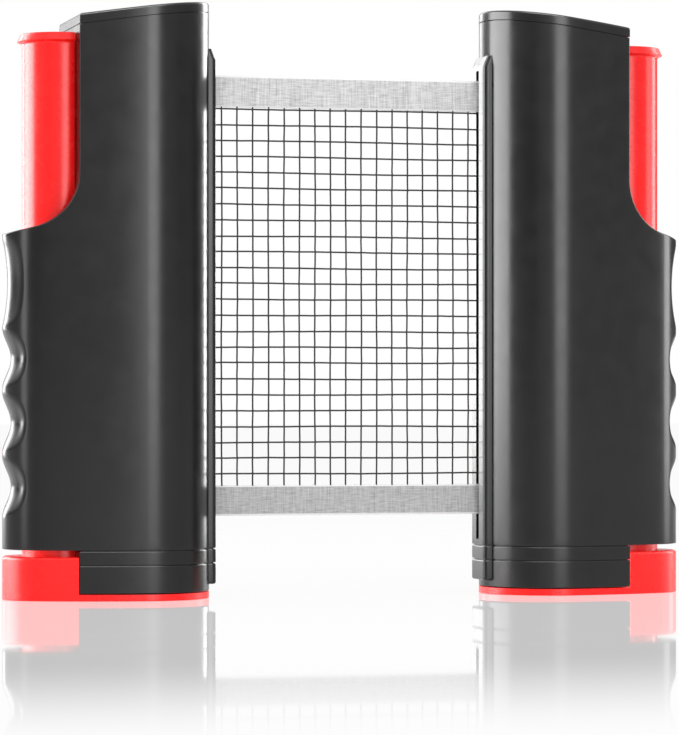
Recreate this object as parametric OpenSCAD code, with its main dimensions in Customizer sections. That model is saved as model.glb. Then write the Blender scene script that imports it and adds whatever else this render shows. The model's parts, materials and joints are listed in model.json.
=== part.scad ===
// Retractable table tennis net with two spring-closed table clamps.
// Frame: X runs along the net, Y away from the viewer, Z up. The origin is midway between the two
// posts, on the surface under the lower jaws. Every post piece is drawn in the post's own
// coordinates: u runs outward from the tip of the net ridge, v along Y, and z up.

/* [Net] */
// Open distance between the tips of the two net ridges
net_gap = 95.9; // [60:0.5:200]
// Height of the net with its tapes
net_height = 152.5; // [140:0.5:160]
// Bottom edge of the net above the floor of the housing
net_rise = 10.8; // [8:0.2:14]
// Width of the top tape
top_tape_w = 11; // [6:0.5:20]
// Width of the bottom tape
bottom_tape_w = 10.6; // [6:0.5:20]
// Thickness of a folded tape
tape_t = 1.2; // [0.6:0.1:1.4]
// Thickness of the mesh
mesh_t = 0.5; // [0.3:0.1:1]
// Width of a mesh thread
thread_w = 0.8; // [0.4:0.1:1.5]
// Mesh openings along the net
mesh_cols = 14; // [4:1:14]
// Mesh openings up the net
mesh_rows = 20; // [4:1:20]
// Length of net that each post stores
net_stored = 800; // [300:10:800]
// Thickness of one wound layer
layer_t = 0.7; // [0.4:0.05:0.7]

/* [Housing] */
// Height of a post above the net's top edge
head_room = 24.4; // [20:0.5:45]
// Gap between the full net roll and the wide end of the housing
roll_gap = 7.16; // [6.5:0.02:9]
// Radius of the narrow end of the housing, in plan
tail_r = 16.5; // [16:0.1:18]
// Radius of the two long sides, in plan
flank_r = 120; // [110:1:160]
// Distance between the centres of the two end radii
body_span = 31; // [26:0.1:33]
// Thickness of the housing wall
wall = 2.2; // [1.8:0.1:2.4]
// Slope of the top cap, in degrees
cap_slope = 7.2; // [0:0.1:8]
// Thickness of the top cap
cap_t = 3.7; // [3:0.1:5]
// Depth of the spigot under the top cap
cap_lip = 1.6; // [1:0.1:2.5]

/* [Net ridge] */
// Width of the ridge that carries the net slot
ridge_w = 16; // [14:0.2:19]
// How far the ridge stands out of the wide end
ridge_out = 1.5; // [1:0.1:3]
// Radius of the ridge's upright corners
ridge_r = 1.5; // [0.5:0.1:2]
// Distance from the top of the post down to the ridge
ridge_drop = 16; // [14:0.5:20]
// Height of the slope on top of the ridge
ridge_slope_h = 3.8; // [2:0.1:6]
// Width of the net slot
slot_w = 2; // [1.8:0.1:3]
// Length of slot above the net
slot_over = 3.5; // [1:0.1:6]
// Height of the slot's lower end above the floor of the housing
slot_foot = 2; // [1:0.1:6]

/* [Plunger bay] */
// Height of the bay's floor at the flat wall
bay_floor = 130.5; // [126:0.5:140]
// Outward slope of the bay's floor, in degrees
bay_slope = 14; // [8:0.5:18]
// Radius of the curve between the flat wall and the floor
bay_r = 19; // [12:0.5:21]

/* [Finger grip] */
// Spacing of the finger hollows
grip_pitch = 21.9; // [20:0.1:22.5]
// Number of finger hollows
grip_count = 3; // [1:1:3]
// Depth of a finger hollow
grip_depth = 3; // [1:0.1:3]
// Depth of the long hollow above the fingers
palm_depth = 2.6; // [1:0.1:3]
// Height of the straight band under the lowest hollow
grip_foot = 10.4; // [6:0.2:12]
// Radius of the grip's sweep at the tip of a finger crest
grip_r = 21.1; // [19.5:0.1:23]
// Distance of the palm hollow's upper end below the bay's outer edge
lip_drop = 1.5; // [1:0.1:3]

/* [Jaws] */
// Thickness of the lower jaw's plate
plate_t = 2.3; // [2:0.1:4]
// Height of the upper jaw
jaw_h = 9.7; // [8:0.1:12]
// Height of the ring between upper jaw and housing
ring_h = 4.9; // [4:0.1:6]
// Height of the lower jaw's upright back above the floor
spine_h = 14.9; // [12:0.1:16]
// Opening travel of the lower jaw
jaw_travel = 40; // [20:1:42]
// Thickness of the upper jaw's pad
upper_pad_t = 1.2; // [0.8:0.1:1.6]
// Thickness of the lower jaw's pad
lower_pad_t = 1; // [0.6:0.1:1.2]
// Distance from a jaw's edge to its pad
pad_inset = 3; // [2:0.1:6]

/* [Thumb plunger] */
// How much smaller the plunger's radius is than that of the housing's narrow end
plunger_in = 4; // [3.5:0.1:5]
// Distance from the flat wall to the plunger's centre line
plunger_off = 3.8; // [3:0.1:4]
// Height of the plunger's top below the top of the post
plunger_drop = 11.9; // [8:0.5:16]
// Thickness of the plunger's wall
plunger_wall = 2; // [1.6:0.1:2.2]
// Thickness of the rim
rim_t = 2.2; // [1.5:0.1:4]
// Width of the rim beyond the plunger
rim_out = 1.7; // [1:0.1:2]
// Height of the slope under the rim
rim_slope_h = 1.9; // [1:0.1:3]
// Height at which the plunger ends and the stem takes over
joint_z = 48; // [44:1:50]
// Length of the stem's spigot inside the plunger
spigot_h = 12; // [10:0.5:13]
// Diameter of the pins that hold the stem in the plunger
pin_d = 3; // [2:0.1:3.4]
// Thickness of a guide rib
guide_t = 2.5; // [2:0.1:4]
// Distance of the lowest guide rib above the housing's lower edge
guide_foot = 3; // [1:0.5:10]
// Distance of the highest guide rib below the end of the palm hollow
guide_drop = 11; // [6:0.5:20]
// Radius of the thumb dish
dish_r = 28; // [20:1:60]
// Depth of the thumb dish
dish_depth = 1.4; // [0.5:0.1:2]

/* [Return spring] */
// Gap between the stem's spigot and the fixed spring seat
seat_gap = 2; // [1:0.5:8]
// Thickness of the seat
seat_t = 3; // [2:0.1:4]
// Width of the seat's neck
seat_neck = 14; // [10:0.5:16]
// Thickness of the head that holds the neck in the flat wall
seat_head = 1.8; // [1:0.1:3]
// Height of the shelf inside the plunger
shelf_z = 165; // [150:1:170]
// Thickness of the shelf
shelf_t = 3; // [2:0.1:5]
// Gap between the spring and the plunger round it
spring_gap = 0.45; // [0.3:0.05:1]
// Diameter of the spring wire
spring_wire = 1.2; // [0.8:0.1:1.6]
// Working turns of the spring
spring_turns = 14; // [8:1:16]
// Diameter of the peg that centres the spring and stops the plunger
peg_d = 6; // [4:0.1:6.4]

/* [Net roller] */
// Distance from the centre of the wide end to the roller's axis, towards the net
roller_off = 3.5; // [3:0.1:4]
// Outer diameter of the roller tube
tube_d = 12; // [10:0.1:12]
// Wall of the roller tube
tube_wall = 1; // [0.8:0.1:1.2]
// Diameter of the fixed arbor
arbor_d = 4; // [3:0.1:4.4]
// Radius of the flange on each roller plug
flange_r = 8; // [7:0.1:9]
// Thickness of that flange
flange_t = 2.4; // [1.5:0.1:3]
// Length of a plug's spigot inside the tube
plug_h = 8; // [5:0.5:10]
// Depth of an arbor socket
socket_h = 3.4; // [2:0.1:4]
// Mean radius of the winding spring
coil_r = 3.6; // [3.2:0.1:3.8]
// Wire diameter of the winding spring
coil_wire = 0.8; // [0.5:0.1:1]
// Turns of the winding spring
coil_turns = 16; // [8:1:20]

/* [Fasteners] */
// Shank diameter of a screw
screw_d = 3; // [2.5:0.1:3.2]
// Head diameter of a screw
head_d = 5.6; // [5:0.1:6]
// Height of a screw head
head_h = 2.4; // [1.6:0.1:2.6]
// Outer radius of a screw boss
boss_r = 3; // [2.6:0.1:3.4]
// Length of a case screw under its head
case_screw_l = 28; // [20:1:30]
// Depth of a case screw's seat below the rear face
case_sink = 4; // [3:0.1:6]
// Distance of the lowest case screw above the housing's lower edge
case_foot = 17; // [14:1:40]
// Distance of the highest case screw below the top of the post
case_drop = 22.9; // [18:1:40]
// Gap between the net roll and a case screw's boss
case_gap = 2.4; // [1:0.1:3]
// Height of a base screw's boss
base_boss_h = 9.6; // [7:0.1:10]
// Distance from a base screw's axis to the side of the post
base_in = 6.4; // [6.2:0.1:7]

/* [Clearances] */
// Gap between pieces that move past each other
run_gap = 0.3; // [0.2:0.05:0.4]
// Gap between the flat wall and the plunger
back_gap = 0.4; // [0.3:0.05:0.6]
// Gap between the plunger and the wall of the grip
grip_gap = 1.6; // [0.3:0.1:2]
// Radial gap of a turning or seated fit
fit_gap = 0.05; // [0.02:0.01:0.1]
// Free space past a screw's or an arbor's end
tip_gap = 0.5; // [0.2:0.1:1]
// Gap between a sunk head or pin end and the surface over it
sunk_gap = 0.2; // [0.1:0.05:0.4]

/* [Hidden] */
PIECES = ["top_cap", "front_shell", "rear_shell", "base_ring", "upper_jaw", "upper_pad",
    "thumb_plunger", "lower_jaw", "lower_pad", "plunger_pins", "return_spring", "spring_seat",
    "net_roller_tube", "roller_lower_plug", "roller_upper_plug", "roller_arbor", "winding_spring",
    "net_roll", "net_leader", "case_screws", "base_screws"];
SIDES = ["left", "right"];

ROUND = 96;      // facets of a full circle in the display mesh
FINE = 48;       // facets of a small circle
FAR = 90;        // reach of a cutting body, beyond every outline
EPS = 0.5;       // overrun of a cut past the face it leaves

// Colours of the materials
BLACK = [0.16, 0.16, 0.17];
RED = [0.86, 0.08, 0.08];
STEEL = [0.72, 0.73, 0.75];
RUBBER = [0.25, 0.25, 0.26];
TAPE = [0.80, 0.80, 0.81];
THREAD = [0.20, 0.20, 0.21];

// Full net roll
roll_r = sqrt(tube_d * tube_d / 4 + net_stored * layer_t / PI);

// Plan outline: two end radii joined by long side arcs
nose_r = roll_r + roll_gap + wall;
nose_u = ridge_out + nose_r;
ridge_root = nose_u - sqrt(nose_r * nose_r - ridge_w * ridge_w / 4) + wall / 2;
tail_u = nose_u + body_span;
post_l = tail_u + tail_r;
nose_reach = flank_r - nose_r;
tail_reach = flank_r - tail_r;
flank_u = (nose_u + tail_u) / 2 + (nose_reach * nose_reach - tail_reach * tail_reach) / (2 * body_span);
flank_v = sqrt(nose_reach * nose_reach - (nose_u - flank_u) * (nose_u - flank_u));
nose_a = 360 + atan2(-flank_v, nose_u - flank_u);   // where the wide end meets the side
tail_a = 360 + atan2(-flank_v, tail_u - flank_u);   // where the side meets the narrow end
NOSE_STEPS = 20;
FLANK_STEPS = 8;
TAIL_STEPS = 11;
// Half width of the post on its long sides
function side_v(u) = sqrt(flank_r * flank_r - (u - flank_u) * (u - flank_u)) - flank_v;

// Heights of the stack, from the floor up
jaw_z = plate_t + run_gap;
ring_z = jaw_z + jaw_h;
shell_z = ring_z + ring_h;
net_z = shell_z + net_rise;
net_top = net_z + net_height;
post_h = net_top + head_room;
plunger_z = post_h - plunger_drop;
ridge_top = post_h - ridge_drop;
// Height of the cap's upper face and of the housing's top edge at u
function cap_z(u) = post_h - tan(cap_slope) * (u - ridge_out);
function rim_z(u) = cap_z(u) - cap_t / cos(cap_slope);

// Plunger, and the flat wall behind it
plunger_r = tail_r - plunger_in;
grip_wall = max(grip_depth, palm_depth) + wall;   // wall of the grip, with its hollows
bay_u = post_l - grip_wall - grip_gap - plunger_r - plunger_off;
plunger_u = bay_u + plunger_off;
plunger_back = bay_u + back_gap;
pin_zs = [joint_z + spigot_h / 4, joint_z + spigot_h * 3 / 4];
pin_half = sqrt(plunger_r * plunger_r - pin_d * pin_d / 4) - sunk_gap;

// Grip
crest_z = shell_z + grip_foot + grip_pitch * grip_count;
lip_z = bay_floor - tan(bay_slope) * (post_l - bay_u) - lip_drop;
grip_u = post_l - grip_r;
bay_inner_r = grip_r - grip_wall;
GRIP_SWEEP = 130;   // angle of the grip around the narrow end
GRIP_STEPS = 14;    // profile steps in one hollow
// Undersides of the ribs that guide the stem
guide_low = shell_z + guide_foot;
guide_high = lip_z - guide_drop;
guide_zs = [guide_low, (guide_low + guide_high) / 2, guide_high];

// Return spring, midway between the plunger's inner faces
spring_room = (plunger_u + plunger_r - plunger_back) / 2 - plunger_wall;
spring_r = spring_room - spring_gap - spring_wire / 2;
spring_u = plunger_back + plunger_wall + spring_room;
seat_z = joint_z + spigot_h + seat_gap;
peg_h = shelf_z - jaw_travel - run_gap - seat_z - seat_t;   // the peg's top stops the shelf

// Net
net_tuck = 2;                          // length of the flat net inside each slot
net_w = net_gap + 2 * net_tuck;

// Roller
roller_u = nose_u - roller_off;
socket_r = arbor_d / 2 + wall + tip_gap;   // outer radius of the cap's arbor boss
arbor_top = rim_z(roller_u + socket_r) - tip_gap;
arbor_z = shell_z - socket_h;
socket_z = arbor_top - socket_h;       // underside of the cap's arbor boss
tube_z = shell_z + run_gap + flange_t;
tube_top = socket_z - run_gap - flange_t;
bend_u = ridge_out + wall + tip_gap;   // where the net turns from the slot to the roll

// Fasteners
case_u = roller_u + roll_r + case_gap + boss_r;
case_low = shell_z + case_foot;
case_high = post_h - case_drop;
case_zs = [case_low, (case_low + case_high) / 2, case_high];
case_seat_v = side_v(case_u) - case_sink;  // where a case screw's head bears
base_seat_z = jaw_z + upper_pad_t + head_h + sunk_gap;
base_hole_z = shell_z + base_boss_h - wall;     // upper end of a base screw's hole
// Plan positions of the base screws, each with the direction of the nearest wall
BASE_A = 133;
base_u = bay_u - wall - head_d;
base_at = [
    [nose_u + (nose_r - base_in) * cos(BASE_A), (nose_r - base_in) * sin(BASE_A), BASE_A],
    [base_u, side_v(base_u) - base_in, 90]];

// --- Placing ---

module right() { translate([net_gap / 2, 0, 0]) children(); }
module left() { mirror([1, 0, 0]) right() children(); }

// --- Plan outlines ---

// Points on an arc from angle a0 to a1, without the last one
function arc(c, r, a0, a1, steps) =
    [for (i = [0:steps - 1]) let (a = a0 + (a1 - a0) * i / steps) c + r * [cos(a), sin(a)]];

// The outline's near side, from the tip of the wide end to the tip of the narrow one
function near_side(inset) = concat(
    arc([nose_u, 0], nose_r - inset, 180, nose_a, NOSE_STEPS),
    arc([flank_u, flank_v], flank_r - inset, nose_a, tail_a, FLANK_STEPS),
    arc([tail_u, 0], tail_r - inset, tail_a, 360, TAIL_STEPS));

// The housing's plan outline, drawn in by inset
module plan(inset = 0) {
    near = near_side(inset);
    far = [for (i = [len(near) - 1:-1:1]) [near[i][0], -near[i][1]]];
    polygon(concat(near, [[post_l - inset, 0]], far));
}

// The part of the outline on the net's side of u, or beyond it
module plan_inboard(u, inset = 0) {
    intersection() {
        plan(inset);
        translate([-FAR, -FAR]) square([FAR + u, 2 * FAR]);
    }
}

module plan_outboard(u, inset = 0) {
    intersection() {
        plan(inset);
        translate([u, -FAR]) square([FAR, 2 * FAR]);
    }
}

// The ridge's plan, rooted inside the wide end
module ridge_plan() {
    half = ridge_w / 2 - ridge_r;
    translate([ridge_r, -ridge_w / 2]) square([ridge_root - ridge_r, ridge_w]);
    translate([0, -half]) square([2 * ridge_r, 2 * half]);
    for (v = [-half, half])
        translate([ridge_r, v]) circle(ridge_r, $fn = FINE);
}

// Half-round outline of plunger and stem, drawn in by inset, or grown where inset is negative
module half_round(inset = 0, back = plunger_back) {
    intersection() {
        translate([plunger_u, 0]) circle(plunger_r - inset, $fn = ROUND);
        translate([back, -FAR]) square([FAR, 2 * FAR]);
    }
}

// Everything above a plane that lies drop under the cap's upper face
module above_cap(drop = 0) {
    translate([ridge_out, 0, post_h])
        rotate([0, cap_slope, 0])
            translate([-FAR, -FAR, -drop]) cube([3 * FAR, 2 * FAR, 2 * FAR]);
}

// Everything below that plane
module below_cap(drop) {
    translate([ridge_out, 0, post_h])
        rotate([0, cap_slope, 0])
            translate([-FAR, -FAR, -drop - 2 * post_h]) cube([3 * FAR, 2 * FAR, 2 * post_h]);
}

// A bar along Y at (u, z)
module cross_bar(u, z, r, v0 = -FAR, v1 = FAR) {
    translate([u, v0, z]) rotate([-90, 0, 0]) cylinder(r = r, h = v1 - v0, $fn = FINE);
}

// A tube wound about the Z axis from z0 to z1
module coil(r, wire, turns, z0, z1) {
    per_turn = 10;
    sides = 6;
    rings = turns * per_turn;
    rise = z1 - z0 - wire;
    pts = [for (i = [0:rings]) for (k = [0:sides - 1])
        let (a = 360 * i / per_turn, b = 360 * k / sides, q = r + wire / 2 * cos(b))
        [q * cos(a), q * sin(a), z0 + wire / 2 + rise * i / rings + wire / 2 * sin(b)]];
    skin = [for (i = [0:rings - 1]) for (k = [0:sides - 1])
        let (a = i * sides + k, b = i * sides + (k + 1) % sides)
        each [[a, b, b + sides], [a, b + sides, a + sides]]];
    first = [for (k = [1:sides - 2]) [0, k + 1, k]];
    base = rings * sides;
    last = [for (k = [1:sides - 2]) [base, base + k, base + k + 1]];
    echo(coil_least_gap = rise / turns - wire);
    polyhedron(points = pts, faces = [for (f = concat(skin, first, last)) [f[0], f[2], f[1]]]);
}

// --- Housing ---

// The cut that bares the plunger: a flat wall, a curve and a sloping floor
module bay_cut() {
    arc_u = bay_u + bay_r;
    arc_z = bay_floor - tan(bay_slope) * bay_r + bay_r / cos(bay_slope);
    end_u = bay_u + FAR;
    end_z = bay_floor - tan(bay_slope) * FAR;
    touch = [arc_u - bay_r * sin(bay_slope), arc_z - bay_r * cos(bay_slope)];
    translate([0, FAR, 0]) rotate([90, 0, 0]) linear_extrude(2 * FAR) {
        polygon([[bay_u, 2 * post_h], [bay_u, arc_z], [arc_u, arc_z], touch, [end_u, end_z],
            [end_u, 2 * post_h]]);
        translate([arc_u, arc_z]) circle(bay_r, $fn = ROUND);
    }
}

// Depth of the grip at height z
function grip_in(z) =
    z < shell_z + grip_foot ? 0
    : z < crest_z ? grip_depth * (1 - cos(360 * (z - crest_z) / grip_pitch)) / 2
    : z < lip_z ? palm_depth * pow(sin(180 * (z - crest_z) / (lip_z - crest_z)), 1.2)
    : 0;

// The hollows that fingers and palm take out of the narrow end
module grip_cut() {
    step = grip_pitch / GRIP_STEPS;
    z0 = shell_z + grip_foot;
    zs = [for (i = [0:floor((lip_z - z0) / step)]) z0 + i * step];
    edge = [for (z = zs) [grip_r - grip_in(z), z]];
    translate([grip_u, 0, 0]) rotate([0, 0, -GRIP_SWEEP / 2])
        rotate_extrude(angle = GRIP_SWEEP, $fn = ROUND)
            polygon(concat(edge, [[grip_r, lip_z], [FAR, lip_z], [FAR, z0]]));
}

// The room for the net roll, less the bosses that stand in it
module roll_room() {
    difference() {
        translate([0, 0, shell_z - EPS]) linear_extrude(post_h) plan_inboard(bay_u - wall, wall);
        for (z = case_zs) {
            cross_bar(case_u, z, boss_r);
            translate([case_u, -FAR, z - wall / 2]) cube([FAR, 2 * FAR, wall]);
        }
        at_base_screws() {
            cylinder(r = boss_r, h = shell_z + base_boss_h, $fn = FINE);
            translate([0, -wall / 2, 0]) cube([base_in, wall, shell_z + base_boss_h]);
        }
    }
}

// The shaft for the stem, less the ribs that guide it
module stem_room() {
    difference() {
        intersection() {
            translate([0, 0, shell_z - EPS]) linear_extrude(post_h) plan_outboard(bay_u, wall);
            translate([grip_u, 0, 0]) cylinder(r = bay_inner_r, h = 2 * post_h, $fn = ROUND);
        }
        for (z = guide_zs)
            translate([0, 0, z]) linear_extrude(guide_t) difference() {
                plan();
                half_round(-run_gap, bay_u);
            }
    }
}

// Both halves of the housing in one
module housing() {
    difference() {
        union() {
            translate([0, 0, shell_z]) linear_extrude(post_h) plan();
            translate([0, 0, shell_z]) linear_extrude(ridge_top - shell_z) ridge_plan();
        }
        above_cap(cap_t);
        bay_cut();
        grip_cut();
        roll_room();
        stem_room();
        // the slope on top of the ridge
        translate([0, FAR, 0]) rotate([90, 0, 0]) linear_extrude(2 * FAR)
            polygon([[-EPS, ridge_top - ridge_slope_h], [ridge_out, ridge_top],
                [ridge_out, ridge_top + EPS], [-EPS, ridge_top + EPS]]);
        // the net slot
        translate([-EPS, -slot_w / 2, shell_z + slot_foot])
            cube([bend_u + EPS, slot_w, net_top + slot_over - shell_z - slot_foot]);
        // the spring seat's opening in the flat wall
        translate([bay_u - wall - EPS, -seat_neck / 2 - fit_gap, seat_z - fit_gap])
            cube([wall + 2 * EPS, seat_neck + 2 * fit_gap, seat_t + 2 * fit_gap]);
        // case screws: tapped at the front, clear and sunk at the rear
        for (z = case_zs) {
            cross_bar(case_u, z, screw_d / 2 + fit_gap, case_seat_v - case_screw_l - tip_gap, FAR);
            cross_bar(case_u, z, head_d / 2 + run_gap, case_seat_v, FAR);
        }
        base_screw_holes(screw_d / 2 + fit_gap, shell_z - EPS, base_hole_z);
    }
}

module front_shell() {
    color(BLACK) intersection() {
        housing();
        translate([-FAR, -FAR, 0]) cube([3 * FAR, FAR, 2 * post_h]);
    }
}

module rear_shell() {
    color(BLACK) intersection() {
        housing();
        translate([-FAR, 0, 0]) cube([3 * FAR, FAR, 2 * post_h]);
    }
}

module top_cap() {
    color(BLACK) difference() {
        union() {
            difference() {
                linear_extrude(post_h + EPS) plan_inboard(bay_u);
                below_cap(cap_t);
            }
            difference() {
                linear_extrude(post_h + EPS) plan_inboard(bay_u - wall - fit_gap, wall + fit_gap);
                below_cap(cap_t + cap_lip);
                linear_extrude(post_h + EPS) plan_inboard(bay_u - 2 * wall, 2 * wall);
            }
            translate([roller_u, 0, socket_z])
                cylinder(r = socket_r, h = post_h - cap_t - socket_z, $fn = FINE);
        }
        above_cap();
        translate([roller_u, 0, socket_z - EPS])
            cylinder(d = arbor_d + 2 * fit_gap, h = arbor_top - socket_z + EPS, $fn = FINE);
    }
}

// --- Base and jaws ---

module base_ring() {
    color(BLACK) difference() {
        translate([0, 0, ring_z]) linear_extrude(ring_h) {
            plan_inboard(bay_u);
            ridge_plan();
        }
        translate([roller_u, 0, arbor_z])
            cylinder(d = arbor_d + 2 * fit_gap, h = ring_h, $fn = FINE);
        base_screw_holes(screw_d / 2 + fit_gap, ring_z - EPS, shell_z + EPS);
    }
}

// Children at each base screw's axis, with their X axis towards the nearest wall
module at_base_screws() {
    for (p = base_at) for (s = [-1, 1])
        translate([p[0], s * p[1], 0]) rotate(s * p[2]) children();
}

module base_screw_holes(r, z0, z1) {
    at_base_screws() translate([0, 0, z0]) cylinder(r = r, h = z1 - z0, $fn = FINE);
}

module pad_plan(gap = 0) { plan_inboard(bay_u - pad_inset + gap, pad_inset - gap); }

module upper_jaw() {
    floor_t = upper_pad_t + wall;
    color(BLACK) difference() {
        union() {
            difference() {
                translate([0, 0, jaw_z]) linear_extrude(jaw_h) plan_inboard(bay_u);
                translate([0, 0, jaw_z + floor_t]) linear_extrude(jaw_h) plan_inboard(bay_u - wall, wall);
            }
            translate([0, 0, jaw_z + wall]) linear_extrude(jaw_h - wall) difference() {
                ridge_plan();
                plan(wall / 2);
            }
            intersection() {
                base_screw_holes(boss_r + wall / 2, jaw_z + EPS, ring_z);
                translate([0, 0, jaw_z]) linear_extrude(jaw_h) plan_inboard(bay_u);
            }
        }
        translate([0, 0, jaw_z - EPS]) linear_extrude(upper_pad_t + EPS) pad_plan(fit_gap);
        base_screw_holes(screw_d / 2 + fit_gap, jaw_z - EPS, ring_z + EPS);
        base_screw_holes(head_d / 2 + run_gap, jaw_z - EPS, base_seat_z);
    }
}

module upper_pad() {
    color(RUBBER) translate([0, 0, jaw_z]) linear_extrude(upper_pad_t) pad_plan();
}

module lower_jaw() {
    color(RED) difference() {
        union() {
            linear_extrude(plate_t) plan();
            linear_extrude(spine_h) plan_outboard(bay_u + run_gap);
            linear_extrude(joint_z) half_round();
            translate([0, 0, joint_z - EPS]) linear_extrude(spigot_h + EPS)
                half_round(plunger_wall + fit_gap, plunger_back + plunger_wall);
        }
        translate([0, 0, plate_t - lower_pad_t]) linear_extrude(jaw_h) pad_plan(fit_gap);
        translate([0, 0, plate_t]) linear_extrude(joint_z + spigot_h - 2 * plate_t)
            half_round(2 * plunger_wall, plunger_back + 2 * plunger_wall);
        pin_holes();
    }
}

module lower_pad() {
    color(RUBBER) translate([0, 0, plate_t - lower_pad_t]) linear_extrude(lower_pad_t) pad_plan();
}

// --- Thumb plunger ---

module pin_holes() {
    for (z = pin_zs) cross_bar(plunger_u, z, pin_d / 2 + fit_gap);
}

module plunger_pins() {
    color(STEEL) for (z = pin_zs) cross_bar(plunger_u, z, pin_d / 2, -pin_half, pin_half);
}

module thumb_plunger() {
    rim_z0 = plunger_z - rim_t;
    color(RED) difference() {
        union() {
            translate([0, 0, joint_z]) linear_extrude(plunger_z - joint_z) half_round();
            intersection() {
                translate([plunger_u, 0, rim_z0 - rim_slope_h]) union() {
                    cylinder(r1 = plunger_r, r2 = plunger_r + rim_out, h = rim_slope_h, $fn = ROUND);
                    translate([0, 0, rim_slope_h]) cylinder(r = plunger_r + rim_out, h = rim_t, $fn = ROUND);
                }
                translate([plunger_back, -FAR, 0]) cube([FAR, 2 * FAR, 2 * post_h]);
            }
        }
        // open channel below the shelf, open to the flat wall
        translate([0, 0, joint_z - EPS]) linear_extrude(shelf_z - joint_z + EPS)
            half_round(plunger_wall, bay_u);
        // hollow between shelf and top
        translate([0, 0, shelf_z + shelf_t])
            linear_extrude(rim_z0 - rim_slope_h - shelf_t - shelf_z) half_round(plunger_wall, bay_u);
        // thumb dish
        translate([(plunger_back + plunger_u + plunger_r) / 2, 0, plunger_z + dish_r - dish_depth])
            sphere(r = dish_r, $fn = 2 * ROUND);
        pin_holes();
    }
}

module spring_seat() {
    color(STEEL) {
        translate([0, 0, seat_z]) linear_extrude(seat_t) {
            intersection() {
                half_round(plunger_wall + 2 * run_gap, bay_u);
                translate([bay_u, -seat_neck / 2]) square([FAR, seat_neck]);
            }
            translate([bay_u - wall - seat_head / 2, -seat_neck / 2])
                square([seat_head / 2 + wall + EPS, seat_neck]);
        }
        translate([bay_u - wall - seat_head, -seat_neck / 2 - seat_head, seat_z - seat_head])
            cube([seat_head, seat_neck + 2 * seat_head, seat_t + 2 * seat_head]);
        translate([spring_u, 0, seat_z + seat_t - EPS])
            cylinder(d = peg_d, h = peg_h + EPS, $fn = FINE);
    }
}

module return_spring() {
    color(STEEL) translate([spring_u, 0, 0])
        coil(spring_r, spring_wire, spring_turns, seat_z + seat_t + run_gap, shelf_z - run_gap);
}

// --- Net roller ---

module on_roller() { translate([roller_u, 0, 0]) children(); }

module net_roller_tube() {
    color(STEEL) on_roller() translate([0, 0, tube_z]) difference() {
        cylinder(d = tube_d, h = tube_top - tube_z, $fn = FINE);
        translate([0, 0, -EPS])
            cylinder(d = tube_d - 2 * tube_wall, h = tube_top - tube_z + 2 * EPS, $fn = FINE);
    }
}

// A flange outside the tube and a spigot inside it, turning on the arbor
module roller_plug() {
    difference() {
        union() {
            translate([0, 0, -flange_t]) cylinder(r = flange_r, h = flange_t, $fn = FINE);
            cylinder(r = tube_d / 2 - tube_wall - fit_gap, h = plug_h, $fn = FINE);
        }
        translate([0, 0, -flange_t - EPS])
            cylinder(d = arbor_d + 2 * fit_gap, h = flange_t + plug_h + 2 * EPS, $fn = FINE);
    }
}

module roller_lower_plug() { color(BLACK) on_roller() translate([0, 0, tube_z]) roller_plug(); }

module roller_upper_plug() {
    color(BLACK) on_roller() translate([0, 0, tube_top]) mirror([0, 0, 1]) roller_plug();
}

module roller_arbor() {
    color(STEEL) on_roller() translate([0, 0, arbor_z])
        cylinder(d = arbor_d, h = arbor_top - arbor_z, $fn = FINE);
}

module winding_spring() {
    color(STEEL) on_roller()
        coil(coil_r, coil_wire, coil_turns, tube_z + plug_h + run_gap, tube_top - plug_h - run_gap);
}

// --- Net ---

module net_roll() {
    color(THREAD) on_roller() translate([0, 0, net_z]) difference() {
        cylinder(r = roll_r, h = net_height, $fn = ROUND);
        translate([0, 0, -EPS]) cylinder(d = tube_d + 2 * fit_gap, h = net_height + 2 * EPS, $fn = FINE);
    }
}

// The net's path from the slot to the tangent of the roll
module net_leader() {
    clear_r = roll_r + run_gap + mesh_t / 2;
    reach = roller_u - bend_u;
    turn = asin(clear_r / reach);
    run = sqrt(reach * reach - clear_r * clear_r);
    color(THREAD) translate([0, 0, net_z]) linear_extrude(net_height) {
        translate([net_tuck, -mesh_t / 2]) square([bend_u - net_tuck, mesh_t]);
        translate([bend_u, 0]) circle(d = mesh_t, $fn = 24);
        translate([bend_u, 0]) rotate(turn) translate([0, -mesh_t / 2]) square([run, mesh_t]);
    }
}

module net_mesh() {
    mesh_h = net_height - top_tape_w - bottom_tape_w;
    cell_w = (net_w - thread_w) / mesh_cols;
    cell_h = (mesh_h - thread_w) / mesh_rows;
    color(THREAD) translate([-net_w / 2, mesh_t / 2, net_z + bottom_tape_w]) rotate([90, 0, 0])
        linear_extrude(mesh_t) difference() {
            square([net_w, mesh_h]);
            for (i = [0:mesh_cols - 1]) for (j = [0:mesh_rows - 1])
                translate([thread_w + i * cell_w, thread_w + j * cell_h])
                    square([cell_w - thread_w, cell_h - thread_w]);
        }
}

module tape(z, h) {
    translate([-net_w / 2, -tape_t / 2, z]) cube([net_w, tape_t, h]);
}

module net_top_tape() { color(TAPE) tape(net_top - top_tape_w, top_tape_w); }
module net_bottom_tape() { color(TAPE) tape(net_z, bottom_tape_w); }

// --- Fasteners ---

// A screw along +Z whose head bears at z = 0 and whose shank points down
module screw(length) {
    difference() {
        union() {
            cylinder(d = head_d, h = head_h, $fn = FINE);
            translate([0, 0, -length]) cylinder(d = screw_d, h = length + EPS, $fn = FINE);
        }
        for (a = [0, 90]) rotate(a)
            translate([-head_d / 3, -head_d / 14, head_h / 2]) cube([head_d * 2 / 3, head_d / 7, head_h]);
    }
}

module case_screws() {
    color(STEEL) for (z = case_zs)
        translate([case_u, case_seat_v, z]) rotate([-90, 0, 0]) screw(case_screw_l);
}

module base_screws() {
    length = base_hole_z - tip_gap - base_seat_z;
    color(STEEL) at_base_screws() translate([0, 0, base_seat_z]) mirror([0, 0, 1]) screw(length);
}

// --- Drawing ---

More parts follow.
